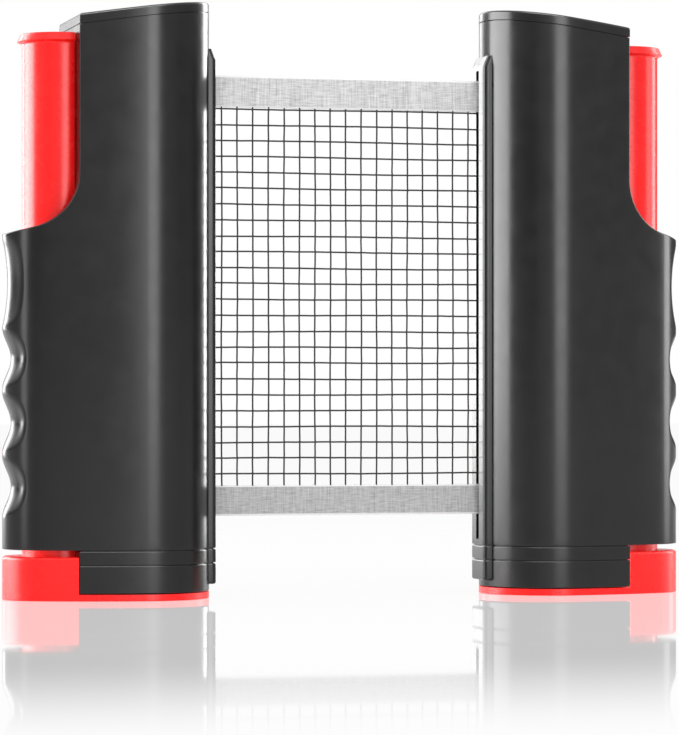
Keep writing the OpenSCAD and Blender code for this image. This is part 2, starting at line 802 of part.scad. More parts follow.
left() top_cap();  // left_top_cap
left() front_shell();  // left_front_shell
left() rear_shell();  // left_rear_shell
left() base_ring();  // left_base_ring
left() upper_jaw();  // left_upper_jaw
left() upper_pad();  // left_upper_pad
left() thumb_plunger();  // left_thumb_plunger
left() lower_jaw();  // left_lower_jaw
left() lower_pad();  // left_lower_pad
left() plunger_pins();  // left_plunger_pins
left() return_spring();  // left_return_spring
left() spring_seat();  // left_spring_seat
left() net_roller_tube();  // left_net_roller_tube
left() roller_lower_plug();  // left_roller_lower_plug
left() roller_upper_plug();  // left_roller_upper_plug
left() roller_arbor();  // left_roller_arbor
left() winding_spring();  // left_winding_spring
left() net_roll();  // left_net_roll
left() net_leader();  // left_net_leader
left() case_screws();  // left_case_screws
left() base_screws();  // left_base_screws
right() top_cap();  // right_top_cap
right() front_shell();  // right_front_shell
right() rear_shell();  // right_rear_shell
right() base_ring();  // right_base_ring
right() upper_jaw();  // right_upper_jaw
right() upper_pad();  // right_upper_pad
right() thumb_plunger();  // right_thumb_plunger
right() lower_jaw();  // right_lower_jaw
right() lower_pad();  // right_lower_pad
right() plunger_pins();  // right_plunger_pins
right() return_spring();  // right_return_spring
right() spring_seat();  // right_spring_seat
right() net_roller_tube();  // right_net_roller_tube
right() roller_lower_plug();  // right_roller_lower_plug
right() roller_upper_plug();  // right_roller_upper_plug
right() roller_arbor();  // right_roller_arbor
right() winding_spring();  // right_winding_spring
right() net_roll();  // right_net_roll
right() net_leader();  // right_net_leader
right() case_screws();  // right_case_screws
right() base_screws();  // right_base_screws
net_mesh();
net_top_tape();
net_bottom_tape();
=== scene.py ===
"""Table tennis net with two clamp posts: the looks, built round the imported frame.

Shapes are drawn in millimetres in the right post's own coordinates (u outward from the tip of the
net ridge, v along Y, z up), then placed in metres; the left post is their mirror image.
"""
import json
import math
import random

import bmesh
import bpy
from mathutils import Matrix, Vector

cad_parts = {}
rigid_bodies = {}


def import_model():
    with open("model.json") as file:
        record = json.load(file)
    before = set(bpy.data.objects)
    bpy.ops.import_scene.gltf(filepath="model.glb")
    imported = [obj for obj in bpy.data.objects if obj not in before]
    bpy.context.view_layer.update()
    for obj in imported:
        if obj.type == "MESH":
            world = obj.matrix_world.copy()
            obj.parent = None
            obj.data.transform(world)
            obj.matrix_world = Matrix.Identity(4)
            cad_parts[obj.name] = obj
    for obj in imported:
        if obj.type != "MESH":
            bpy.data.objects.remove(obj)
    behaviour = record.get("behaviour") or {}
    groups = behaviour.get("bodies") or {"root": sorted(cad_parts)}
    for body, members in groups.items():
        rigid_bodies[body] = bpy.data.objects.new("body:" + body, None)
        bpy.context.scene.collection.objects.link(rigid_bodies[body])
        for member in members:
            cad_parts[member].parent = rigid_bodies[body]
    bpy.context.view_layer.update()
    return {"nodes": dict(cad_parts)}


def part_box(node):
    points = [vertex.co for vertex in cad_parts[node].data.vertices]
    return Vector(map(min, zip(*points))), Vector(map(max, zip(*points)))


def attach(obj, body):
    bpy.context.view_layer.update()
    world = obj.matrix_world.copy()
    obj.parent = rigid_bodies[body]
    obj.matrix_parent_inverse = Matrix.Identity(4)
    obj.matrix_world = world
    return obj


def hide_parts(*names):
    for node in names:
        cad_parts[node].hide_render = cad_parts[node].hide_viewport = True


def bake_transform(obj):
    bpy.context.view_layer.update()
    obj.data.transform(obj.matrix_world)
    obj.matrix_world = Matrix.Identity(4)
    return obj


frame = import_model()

MM = 0.001


def size_mm(node):
    """Lowest and highest corner of a CAD node, in millimetres."""
    low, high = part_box(node)
    return low / MM, high / MM


def tan_deg(degrees):
    return math.tan(math.radians(degrees))


def cos_deg(degrees):
    return math.cos(math.radians(degrees))


# --- Sizes: the frame gives what it can, the rest repeats the part's own values ---

SHELL_LOW, SHELL_HIGH = size_mm("right_front_shell")
CAP_LOW, CAP_HIGH = size_mm("right_top_cap")
PLUNGER_LOW, PLUNGER_HIGH = size_mm("right_thumb_plunger")
TOP_TAPE_LOW, TOP_TAPE_HIGH = size_mm("net_top_tape")
LOW_TAPE_LOW, LOW_TAPE_HIGH = size_mm("net_bottom_tape")
PAD_LOW, PAD_HIGH = size_mm("right_upper_pad")
SCREWS_LOW, SCREWS_HIGH = size_mm("right_case_screws")
ARBOR_LOW, ARBOR_HIGH = size_mm("right_roller_arbor")

HALF_GAP = SHELL_LOW.x                   # from the part's middle to a ridge's tip
POST_L = SHELL_HIGH.x - HALF_GAP
RIDGE_OUT = CAP_LOW.x - HALF_GAP
NOSE_R = -SHELL_LOW.y                    # of the wide end
TAIL_R = 16.5                            # of the narrow end
FLANK_R = 120.0                          # of the long sides
WALL = 2.2
NOSE_U = RIDGE_OUT + NOSE_R
TAIL_U = POST_L - TAIL_R
BAY_U = CAP_HIGH.x - HALF_GAP

NOSE_REACH = FLANK_R - NOSE_R
TAIL_REACH = FLANK_R - TAIL_R
FLANK_U = (NOSE_U + TAIL_U) / 2 + (NOSE_REACH ** 2 - TAIL_REACH ** 2) / (2 * (TAIL_U - NOSE_U))
FLANK_V = math.sqrt(NOSE_REACH ** 2 - (NOSE_U - FLANK_U) ** 2)
NOSE_A = 360 + math.degrees(math.atan2(-FLANK_V, NOSE_U - FLANK_U))
TAIL_A = 360 + math.degrees(math.atan2(-FLANK_V, TAIL_U - FLANK_U))

JAW_Z = size_mm("right_upper_jaw")[0].z
RING_Z = size_mm("right_base_ring")[0].z
SHELL_Z = SHELL_LOW.z
POST_H = CAP_HIGH.z
CAP_SLOPE = 7.2                          # degrees
CAP_T = 3.7
CAP_LIP = 1.6                            # depth of the rim that seats the cap in the housing
CAP_EDGE = 0.9                           # radius of the cap's upper edge

RIDGE_W = 16.0                           # of the ridge that guides the net
RIDGE_R = 1.5
RIDGE_ROOT = 21.0                        # how far the upper jaw's ridge runs into it
RIDGE_TOP = POST_H - 16.0
RIDGE_SLOPE = 3.8                        # height of the slope on top of the ridge
SLOT_W = 3.2                             # with the rounding of the slot's lips
SLOT_Z = (SHELL_Z + 2.0, TOP_TAPE_HIGH.z + 3.5)
BEND_U = RIDGE_OUT + WALL + 0.5

BAY_FLOOR = 130.5
BAY_SLOPE = 14.0                         # degrees
BAY_R = 19.0                             # of the curve between the bay's wall and floor
BAY_EDGE = 0.55                          # radius of the bay's rounded edge

GRIP_PITCH = 21.9
GRIP_COUNT = 3
GRIP_DEPTH = 3.0
PALM_DEPTH = 1.8
GRIP_FOOT = SHELL_Z + 10.4
GRIP_CREST = GRIP_FOOT + GRIP_PITCH * GRIP_COUNT
GRIP_R = 21.1                            # from the grip's axis to its crests
GRIP_SWEEP = 104                         # degrees round the narrow end that have finger hollows
GRIP_FADE = 30                           # degrees over which a hollow runs out
GRIP_U = POST_L - GRIP_R
GRIP_LIP = BAY_FLOOR - tan_deg(BAY_SLOPE) * (POST_L - BAY_U) - 1.5
ROOM_R = GRIP_R - GRIP_DEPTH - WALL

PLUNGER_U = BAY_U + 3.8
PLUNGER_BACK = PLUNGER_LOW.x - HALF_GAP
PLUNGER_R = TAIL_R - 4.0
PLUNGER_WALL = 2.0
RIM_T = 2.2
RIM_OUT = 1.7
RIM_SLOPE = 1.9
RIM_EDGE = 0.45                          # radius of the rim's upper edge
SHELF_Z = 165.0                          # the plunger's shelf, which the spring pushes up
SHELF_T = 3.0
DISH_R = 28.0
DISH_DEPTH = 1.4
DISH_SOFT = 0.012                        # rounds the dish's edge, in square millimetres
JOINT_Z = PLUNGER_LOW.z
SPIGOT_Z = size_mm("right_lower_jaw")[1].z
LOWER_PAD_Z = size_mm("right_lower_pad")[0].z
SPINE_Z = 14.9                           # top of the lower jaw's upright back
PLATE_T = 2.3
PAD_INSET = 3.0
PIN_ZS = (JOINT_Z + 3, JOINT_Z + 9)      # the two pins that join plunger and stem
GUIDE_T = 2.5
GUIDE_LOW = SHELL_Z + 3.0
GUIDE_HIGH = GRIP_LIP - 11.0
RUN_GAP = 0.3
FIT_GAP = 0.05
SEAM = 0.05                              # half the hairline between the two shells
SEAM_H = 0.32                            # height of the groove between two stacked pieces
SEAM_DEPTH = 0.8

SEAT_Z = size_mm("right_spring_seat")[0].z
SEAT_W = 14.0
SEAT_T = 3.0
SCREW_R = 1.5
HEAD_R = 2.8
HEAD_T = 2.4
BASE_HEAD_T = 2.6
BOSS_R = 3.0                             # of the bosses round the screws
CASE_U = (SCREWS_LOW.x + SCREWS_HIGH.x) / 2 - HALF_GAP
CASE_SEAT_V = SCREWS_HIGH.y - HEAD_T
CASE_LOW = SCREWS_LOW.z + HEAD_R
CASE_HIGH = SCREWS_HIGH.z - HEAD_R
CASE_ZS = (CASE_LOW, (CASE_LOW + CASE_HIGH) / 2, CASE_HIGH)
BASE_IN = 6.4                            # from a base screw to the wall
BASE_A = 133.0                           # degrees round the wide end to its base screws
BASE_TOP = SHELL_Z + 9.6
BASE_HOLE_TOP = BASE_TOP - WALL

ARBOR_U = (ARBOR_LOW.x + ARBOR_HIGH.x) / 2 - HALF_GAP
ARBOR_R = 2.0
SOCKET_R = 4.7                           # the socket in the cap that holds the arbor's end
SOCKET_DEPTH = 3.4

FAR = 40.0                               # past the part on any side
CUT = 1.0                                # overrun of a cut past the face it leaves

# --- Plan outlines, in millimetres ---


def polar(centre_u, centre_v, radius, degrees):
    a = math.radians(degrees)
    return centre_u + radius * math.cos(a), centre_v + radius * math.sin(a)


def arc(centre_u, centre_v, radius, a0, a1, steps, last=True):
    count = steps + 1 if last else steps
    return [polar(centre_u, centre_v, radius, a0 + (a1 - a0) * i / steps) for i in range(count)]


def line(p, q, steps):
    """Points from p towards q, without q."""
    return [(p[0] + (q[0] - p[0]) * i / steps, p[1] + (q[1] - p[1]) * i / steps)
            for i in range(steps)]


def side_v(u, inset=0.0):
    """Half width of the post at u, on its long sides or its narrow end."""
    if u < TAIL_U + (TAIL_R - inset) * cos_deg(TAIL_A):
        return math.sqrt((FLANK_R - inset) ** 2 - (u - FLANK_U) ** 2) - FLANK_V
    return math.sqrt(max((TAIL_R - inset) ** 2 - (u - TAIL_U) ** 2, 0.0))


def side_normal(u):
    """Outward normal, in plan, of the near side at u."""
    if u < TAIL_U + TAIL_R * cos_deg(TAIL_A):
        return Vector(((u - FLANK_U) / FLANK_R, -(side_v(u) + FLANK_V) / FLANK_R, 0))
    return Vector(((u - TAIL_U) / TAIL_R, -side_v(u) / TAIL_R, 0))


def ridge_points(tip, inset=0.0):
    """The near half of the ridge, from its tip to just before the wide end."""
    half = RIDGE_W / 2 - inset
    join = NOSE_U - math.sqrt((NOSE_R - inset) ** 2 - half ** 2)
    tip = min(tip + inset, join)
    r = min(RIDGE_R - inset, join - tip)
    corner = (tip + r, -half + r)
    return (line((tip, 0), (tip, corner[1]), 4)
            + arc(corner[0], corner[1], r, 180, 270, 6, last=False)
            + line((corner[0], -half), (join, -half), 3))


def nose_points(inset=0.0, ridge=True, steps=30):
    """The near half of the wide end, up to the start of the long side."""
    radius = NOSE_R - inset
    start = 180.0
    if ridge:
        start += math.degrees(math.asin((RIDGE_W / 2 - inset) / radius))
    return arc(NOSE_U, 0, radius, start, NOSE_A, steps, last=False)


def flank_points(u_end, inset=0.0, steps=12):
    """The near long side from the wide end up to u_end."""
    a_end = 360 - math.degrees(math.acos((u_end - FLANK_U) / (FLANK_R - inset)))
    return arc(FLANK_U, FLANK_V, FLANK_R - inset, NOSE_A, a_end, steps)


def closed(near):
    """The whole outline from its near half, whose first and last points lie on v = 0."""
    return near + [(u, -v) for u, v in reversed(near[1:-1])]


def inboard(inset, ridge=None):
    """Outline of the post on the net's side of the bay; ridge is u of the ridge's tip, if any."""
    end = BAY_U - inset
    near = nose_points(inset, ridge is not None) + flank_points(end, inset)
    if ridge is not None:
        near = ridge_points(ridge, inset) + near
    near += line(near[-1], (end, 0), 6)[1:] + [(end, 0)]
    return closed(near)


def outboard(inset, start, limit):
    """Outline of the post beyond u = start, kept within limit of the grip's axis."""
    start += inset
    a0 = 360 - math.degrees(math.acos((start - FLANK_U) / (FLANK_R - inset)))
    a0 = min(a0, TAIL_A)
    near = [(start, 0)] + line((start, 0), (start, -side_v(start, inset)), 6)[1:]
    near += arc(FLANK_U, FLANK_V, FLANK_R - inset, a0, TAIL_A, 8, last=False)
    near += arc(TAIL_U, 0, TAIL_R - inset, TAIL_A, 360, 26)
    return closed([drawn_in(u, v, limit) for u, v in near])


def whole(inset):
    """The post's whole outline without the ridge."""
    near = nose_points(inset, ridge=False, steps=36)
    near += arc(FLANK_U, FLANK_V, FLANK_R - inset, NOSE_A, TAIL_A, 18, last=False)
    return closed(near + arc(TAIL_U, 0, TAIL_R - inset, TAIL_A, 360, 26))


def drawn_in(u, v, limit):
    """The point, moved in to at most limit from the grip's axis."""
    reach = math.hypot(u - GRIP_U, v)
    if reach <= limit:
        return u, v
    return GRIP_U + (u - GRIP_U) * limit / reach, v * limit / reach


def half_round(inset, back=None):
    """Outline of the plunger and its stem, open side at u = back."""
    radius = PLUNGER_R - inset
    back = PLUNGER_BACK + inset if back is None else back
    a0 = math.degrees(math.acos((back - PLUNGER_U) / radius))
    near = [(back, 0)] + line((back, 0), polar(PLUNGER_U, 0, radius, -a0), 8)[1:]
    return closed(near + arc(PLUNGER_U, 0, radius, -a0, 0, 40))


# --- Meshes ---


def make_object(name, bm):
    mesh = bpy.data.meshes.new(name)
    bm.to_mesh(mesh)
    bm.free()
    made = bpy.data.objects.new(name, mesh)
    bpy.context.scene.collection.objects.link(made)
    return made


def height(z, u):
    return z(u) if callable(z) else z


def loft(name, loops):
    """A closed solid through loops of (u, v, z) points, with flat ends."""
    bm = bmesh.new()
    rings = [[bm.verts.new(p) for p in loop] for loop in loops]
    count = len(rings[0])
    for low, high in zip(rings, rings[1:]):
        for i in range(count):
            j = (i + 1) % count
            bm.faces.new((low[i], low[j], high[j], high[i]))
    bm.faces.new(list(reversed(rings[0])))
    bm.faces.new(rings[-1])
    bmesh.ops.remove_doubles(bm, verts=bm.verts[:], dist=1e-4)
    bmesh.ops.recalc_face_normals(bm, faces=bm.faces[:])
    return make_object(name, bm)


def prism(name, outline, z0, z1, r0=0.0, r1=0.0, steps=4, groove0=0.0, groove1=0.0):
    """A prism with its lower and upper edges rounded and, where asked for, set back at a seam.

    z0 and z1 may depend on u; groove0 and groove1 are the heights of the seam grooves.
    """
    def rounded(radius, groove):
        """(inset, distance from the end) from the end face to the side."""
        if not radius:
            return [(0, groove)]
        turns = [math.pi / 2 * i / steps for i in range(steps + 1)]
        return [(radius * (1 - math.sin(a)), groove + radius * (1 - math.cos(a))) for a in turns]

    low = rounded(r0, groove0)
    high = rounded(r1, groove1)[::-1]
    if groove0:
        low = [(SEAM_DEPTH, 0), (SEAM_DEPTH, groove0)] + low
    if groove1:
        high = high + [(SEAM_DEPTH, groove1), (SEAM_DEPTH, 0)]
    loops = [[(u, v, height(z0, u) + rise) for u, v in outline(inset)] for inset, rise in low]
    loops += [[(u, v, height(z1, u) - drop) for u, v in outline(inset)] for inset, drop in high]
    return loft(name, loops)


def block(u0, u1, v0, v1, z0, z1):
    return loft("cutter", [[(u0, v0, z), (u1, v0, z), (u1, v1, z), (u0, v1, z)] for z in (z0, z1)])


def rod(centre_u, centre_v, radius, z0, z1, steps=48):
    ring = arc(centre_u, centre_v, radius, 0, 360, steps, last=False)
    return loft("cutter", [[(u, v, z) for u, v in ring] for z in (z0, z1)])


def cross_rod(u, z, radius, v0, v1, steps=48):
    """A rod along v."""
    ring = arc(u, z, radius, 0, 360, steps, last=False)
    return loft("cutter", [[(a, v, b) for a, b in ring] for v in (v0, v1)])


def combine(body, other, operation="DIFFERENCE"):
    """Cuts other from body, joins it on or keeps what both share. other is used up."""
    modifier = body.modifiers.new("combine", "BOOLEAN")
    modifier.operation = operation
    modifier.solver = "MANIFOLD"
    modifier.object = other
    bpy.context.view_layer.update()
    graph = bpy.context.evaluated_depsgraph_get()
    mesh = bpy.data.meshes.new_from_object(body.evaluated_get(graph))
    old = body.data
    body.modifiers.clear()
    body.data = mesh
    bpy.data.meshes.remove(old)
    spent = other.data
    bpy.data.objects.remove(other)
    bpy.data.meshes.remove(spent)


def smooth(obj, sharp_angle=32.0):
    """Smooth shading, with every edge sharper than the angle left crisp."""
    bm = bmesh.new()
    bm.from_mesh(obj.data)
    bmesh.ops.remove_doubles(bm, verts=bm.verts[:], dist=2e-4)
    for face in bm.faces:
        face.smooth = True
    limit = math.radians(sharp_angle)
    for edge in bm.edges:
        edge.smooth = len(edge.link_faces) == 2 and edge.calc_face_angle(0.0) < limit
    bm.to_mesh(obj.data)
    bm.free()
    return obj


def weigh_normals(obj):
    modifier = obj.modifiers.new("normals", "WEIGHTED_NORMAL")
    modifier.keep_sharp = True
    modifier.weight = 80


def placed(obj, side, name, body, material, slot, *nodes):
    """A copy of obj on one post, in metres, riding on its body in place of the CAD nodes."""
    mesh = obj.data.copy()
    mesh.transform(Matrix.Scale(MM, 4) @ Matrix.Translation((HALF_GAP, 0, 0)))
    if side == "left":
        mesh.transform(Matrix.Scale(-1, 4, (1, 0, 0)))
        mesh.flip_normals()
    mesh.name = f"{side}_{name}"
    mesh.materials.clear()
    mesh.materials.append(material)
    piece = bpy.data.objects.new(f"{side}_{name}_look", mesh)
    bpy.context.scene.collection.objects.link(piece)
    weigh_normals(piece)
    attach(piece, f"{side}_{body}")
    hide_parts(*[f"{side}_{node}" for node in nodes])


def on_both_posts(obj, name, body, material, slot, *nodes):
    for side in ("left", "right"):
        placed(obj, side, name, body, material, slot, *nodes)
    bpy.data.objects.remove(obj)


# --- Housing ---

BAY_ARC_U = BAY_U + BAY_R
BAY_ARC_Z = BAY_FLOOR - tan_deg(BAY_SLOPE) * BAY_R + BAY_R / cos_deg(BAY_SLOPE)


def cap_z(u):
    """Top of the cap."""
    return POST_H - tan_deg(CAP_SLOPE) * (u - RIDGE_OUT)


def rim_z(u):
    """Where the cap meets the housing."""
    return cap_z(u) - CAP_T / cos_deg(CAP_SLOPE)


def bay_profile():
    """Points of the bay's floor from the flat wall outward: (u, z, normal)."""
    found = []
    for i in range(19):
        a = math.radians((90 - BAY_SLOPE) * i / 18)
        found.append((BAY_ARC_U - BAY_R * math.cos(a), BAY_ARC_Z - BAY_R * math.sin(a),
                      Vector((math.cos(a), 0, math.sin(a)))))
    touch_u, touch_z, normal = found[-1]
    a0 = 360 - math.degrees(math.acos((touch_u - TAIL_U) / TAIL_R))
    for u, _ in arc(TAIL_U, 0, TAIL_R, a0, 360, 30)[1:]:
        found.append((u, touch_z - tan_deg(BAY_SLOPE) * (u - touch_u), normal))
    return found


def fillet(u, z, normal, steps=5):
    """The rounded edge between the near side and a bay face at (u, z), from side to face."""
    side = side_normal(u)
    edge = Vector((u, -side_v(u), z))
    centre = edge - BAY_EDGE * (side + normal) / (1 + side.dot(normal))
    found = []
    for i in range(steps + 1):
        turn = side.lerp if i in (0, steps) else side.slerp
        found.append(centre + BAY_EDGE * turn(normal, i / steps))
    return found


def grip_depth(z):
    """Depth of the finger hollows and of the palm hollow above them."""
    if GRIP_FOOT <= z < GRIP_CREST:
        return GRIP_DEPTH * (1 - math.cos(2 * math.pi * (z - GRIP_CREST) / GRIP_PITCH)) / 2
    if GRIP_CREST <= z < GRIP_LIP:
        share = (z - GRIP_CREST) / (GRIP_LIP - GRIP_CREST)
        return PALM_DEPTH * math.sin(math.pi * share) ** 0.8
    return 0.0


def gripped(u, v, z):
    """A point of the narrow end, moved in where the grip is hollow."""
    depth = grip_depth(z)
    reach = math.hypot(u - GRIP_U, v)
    angle = math.degrees(abs(math.atan2(v, u - GRIP_U)))
    if depth <= 0 or angle > GRIP_SWEEP / 2:
        return u, v
    fade = min(max((GRIP_SWEEP / 2 - angle) / GRIP_FADE, 0), 1)
    fade = fade * fade * (3 - 2 * fade)
    limit = GRIP_R - depth * fade
    blend = min(0.9, 0.5 * depth * fade) + 1e-6
    share = min(max(0.5 + 0.5 * (reach - limit) / blend, 0), 1)
    soft = reach * (1 - share) + limit * share - blend * share * (1 - share)
    return GRIP_U + (u - GRIP_U) * soft / reach, v * soft / reach


def side_columns(tip, inset, out):
    """Plan points of the near wall's columns: ridge, wide end, long side and narrow end."""
    start = out[0][0].x
    inner = ridge_points(tip, inset) + nose_points(inset, True) + flank_points(start, inset)[:-1]
    return inner + [(p.x - inset * n.x, p.y - inset * n.y) for p, n in out]


def bare(points):
    """Ridge columns pulled back onto the wide end, above the ridge."""
    count = len(ridge_points(0.0))
    return [(NOSE_U - math.sqrt(NOSE_R ** 2 - v * v), v) if i < count else (u, v)
            for i, (u, v) in enumerate(points)]


def spread(a, b, step):
    """Even steps from a towards b, without b."""
    count = max(int(round((b - a) / step)), 1)
    return [a + (b - a) * i / count for i in range(count)]


def housing_body():
    """The housing's outer form as one closed solid, with its bay and grip."""
    profile = bay_profile()
    edges = [fillet(u, z, n) for u, z, n in profile]
    out = [(e[0], side_normal(u)) for e, (u, _, _) in zip(edges, profile)]
    z_bay = edges[0][0].z
    bevel = 0.3
    lower = spread(SHELL_Z + bevel, GRIP_FOOT, 2.5) + spread(GRIP_FOOT, GRIP_LIP + 1, 0.85)
    lower += spread(GRIP_LIP + 1, z_bay, 2) + [z_bay]
    rounds = [(bevel * (1 - math.sin(a)), SHELL_Z + bevel * (1 - math.cos(a)))
              for a in (0, math.pi / 6, math.pi / 3)]
    rows = rounds + [(0.0, z) for z in lower]

    near = []                                # rows of points up to the bay's lowest inboard point
    for inset, z in rows:
        columns = side_columns(0.0, inset, out)
        row = [(u, v, z) for u, v in columns[:-len(out)]]
        for (u, v), (edge, _) in zip(columns[-len(out):], out):
            lifted = SHELL_Z + (z - SHELL_Z) * (edge.z - SHELL_Z) / (z_bay - SHELL_Z)
            row.append((*gripped(u, v, lifted), lifted))
        near.append(row)

    inner = len(near[0]) - len(out) + 1      # columns on the net's side, the bay's corner included
    tip_z = RIDGE_TOP - RIDGE_SLOPE
    upper = [(z, 0.0) for z in spread(z_bay, tip_z, 3)[1:]]
    upper += [(tip_z + RIDGE_SLOPE * i / 5, RIDGE_OUT * i / 5) for i in range(6)]
    tops = []                                # rows above, on the net's side only
    for z, tip in upper:
        tops.append([(u, v, z) for u, v in side_columns(tip, 0.0, out)[:inner]])
    plain = bare(side_columns(0.0, 0.0, out)[:inner])
    tops.append([(u, v, RIDGE_TOP) for u, v in plain])
    for share in (0.5, 1.0):
        tops.append([(u, v, RIDGE_TOP + (rim_z(u) - RIDGE_TOP) * share) for u, v in plain])

    bm = bmesh.new()

    def rows_of(table, mirror):
        return [[bm.verts.new((u, -v if mirror else v, z)) for u, v, z in row] for row in table]

    def skin(table):
        for low, high in zip(table, table[1:]):
            for i in range(min(len(low), len(high)) - 1):
                bm.faces.new((low[i], low[i + 1], high[i + 1], high[i]))

    corner = [[tuple(p) for p in edges[0]]]
    corner += [[(p.x, p.y, row[-1][2]) for p in fillet(BAY_U, 0, Vector((1, 0, 0)))]
               for row in tops]
    floor = [[tuple(p) for p in e] for e in edges]
    ends = []
    for mirror in (False, True):
        wall = rows_of(near, mirror)
        top = rows_of([near[-1][:inner]] + tops, mirror)
        post = rows_of(corner, mirror)
        edge = rows_of(floor, mirror)
        for table in (wall, top, post, edge):
            skin(table)
        ends.append((wall, top, post, edge))
    (wall_a, top_a, post_a, edge_a), (wall_b, top_b, post_b, edge_b) = ends
    bm.faces.new(wall_a[0] + wall_b[0][-2:0:-1])
    skin([top_a[-1] + post_a[-1], top_b[-1] + post_b[-1]])
    skin([[row[-1] for row in post_a], [row[-1] for row in post_b]])
    skin([[row[-1] for row in edge_a], [row[-1] for row in edge_b]])
    bmesh.ops.remove_doubles(bm, verts=bm.verts[:], dist=1e-3)
    bmesh.ops.dissolve_degenerate(bm, edges=bm.edges[:], dist=1e-4)
    loose = [f for f in bm.faces if f.calc_area() < 1e-9]
    bmesh.ops.delete(bm, geom=loose, context="FACES_ONLY")
    bmesh.ops.recalc_face_normals(bm, faces=bm.faces[:])
    return make_object("housing", bm)


def base_screw_places():
    """(u, v, direction of the nearest wall) of the four base screws."""
    u0, v0 = polar(NOSE_U, 0, NOSE_R - BASE_IN, BASE_A)
    u1 = BAY_U - WALL - 2 * HEAD_R
    v1 = side_v(u1) - BASE_IN
    return [(u, s * v, s * a) for u, v, a in ((u0, v0, BASE_A), (u1, v1, 90)) for s in (-1, 1)]


def roll_room():
    """The room round the roller, less the bosses and webs that stand in it."""
    room = prism("room", lambda _: inboard(WALL), SHELL_Z - CUT, POST_H + 10)
    for z in CASE_ZS:
        combine(room, cross_rod(CASE_U, z, BOSS_R, -FAR, FAR))
        combine(room, block(CASE_U, CASE_U + FAR, -FAR, FAR, z - WALL / 2, z + WALL / 2))
    for u, v, a in base_screw_places():
        combine(room, rod(u, v, BOSS_R, -5, BASE_TOP))
        web = block(0, BASE_IN, -WALL / 2, WALL / 2, -5, BASE_TOP)
        web.data.transform(Matrix.Translation((u, v, 0)) @ Matrix.Rotation(math.radians(a), 4, "Z"))
        combine(room, web)
    return room


def stem_room():
    """The room round the stem, less the ribs that guide it."""
    room = prism("room", lambda _: outboard(WALL, BAY_U - WALL, ROOM_R), SHELL_Z - CUT, POST_H)
    for z in (GUIDE_LOW, (GUIDE_LOW + GUIDE_HIGH) / 2, GUIDE_HIGH):
        rib = block(BAY_U - CUT, POST_L, -30, 30, z, z + GUIDE_T)
        combine(rib, prism("hole", lambda _: half_round(-RUN_GAP, BAY_U - 1.2),
                           z - CUT, z + GUIDE_T + CUT))
        combine(room, rib)
    return room


def housing():
    body = housing_body()
    combine(body, roll_room())
    combine(body, stem_room())
    combine(body, block(-CUT, BEND_U, -SLOT_W / 2, SLOT_W / 2, *SLOT_Z))
    seat_v = SEAT_W / 2 + FIT_GAP
    combine(body, block(BAY_U - WALL - CUT, BAY_U + CUT, -seat_v, seat_v,
                        SEAT_Z - FIT_GAP, SEAT_Z + SEAT_T + FIT_GAP))
    for z in CASE_ZS:
        combine(body, cross_rod(CASE_U, z, SCREW_R + FIT_GAP, SCREWS_LOW.y - 0.5, FAR))
        combine(body, cross_rod(CASE_U, z, HEAD_R + RUN_GAP, CASE_SEAT_V, FAR))
    for u, v, _ in base_screw_places():
        combine(body, rod(u, v, SCREW_R + FIT_GAP, SHELL_Z - CUT, BASE_HOLE_TOP))
    return body


def make_housing(material):
    body = housing()
    rear = body.copy()
    rear.data = body.data.copy()
    bpy.context.scene.collection.objects.link(rear)
    combine(body, block(-5, POST_L + 5, -FAR, -SEAM, 0, POST_H), "INTERSECT")
    combine(rear, block(-5, POST_L + 5, SEAM, FAR, 0, POST_H), "INTERSECT")
    on_both_posts(smooth(body), "front_shell", "post", material, "black_plastic", "front_shell")
    on_both_posts(smooth(rear), "rear_shell", "post", material, "black_plastic", "rear_shell")


def make_cap(material):
    cap = prism("cap", inboard, rim_z, cap_z, 0.15, CAP_EDGE, 6, groove0=SEAM_H)
    lip = prism("lip", lambda _: inboard(WALL + FIT_GAP),
                lambda u: rim_z(u) - CAP_LIP, lambda u: rim_z(u) + CUT)
    combine(lip, prism("hole", lambda _: inboard(2 * WALL), POST_H - FAR, rim_z))
    combine(cap, lip, "UNION")
    socket_z = ARBOR_HIGH.z - SOCKET_DEPTH
    combine(cap, rod(ARBOR_U, 0, SOCKET_R, socket_z, POST_H - CAP_T), "UNION")
    combine(cap, rod(ARBOR_U, 0, ARBOR_R + FIT_GAP, socket_z - CUT, ARBOR_HIGH.z))
    on_both_posts(smooth(cap), "top_cap", "post", material, "black_plastic", "top_cap")


# --- Base and jaws ---


def pad_place(z0, z1):
    """What a jaw gives up for its pad."""
    return prism("pad", lambda _: inboard(PAD_INSET - FIT_GAP), z0, z1)


def drill_pins(piece):
    for z in PIN_ZS:
        combine(piece, cross_rod(PLUNGER_U, z, SCREW_R + FIT_GAP, -20, 20))


def make_ring(material):
    ring = prism("ring", lambda inset: inboard(inset, ridge=0.0), RING_Z, SHELL_Z, 0.15, 0.35,
                 groove1=SEAM_H)
    for u, v, _ in base_screw_places():
        combine(ring, rod(u, v, SCREW_R + FIT_GAP, RING_Z - CUT, SHELL_Z + CUT))
    on_both_posts(smooth(ring), "base_ring", "post", material, "black_plastic", "base_ring")


def jaw_ridge(inset):
    """Outline of the net ridge's part of the upper jaw."""
    root = NOSE_U - RIDGE_ROOT - inset
    return closed(ridge_points(0.0, inset) + [(root, -RIDGE_W / 2 + inset), (root, 0)])


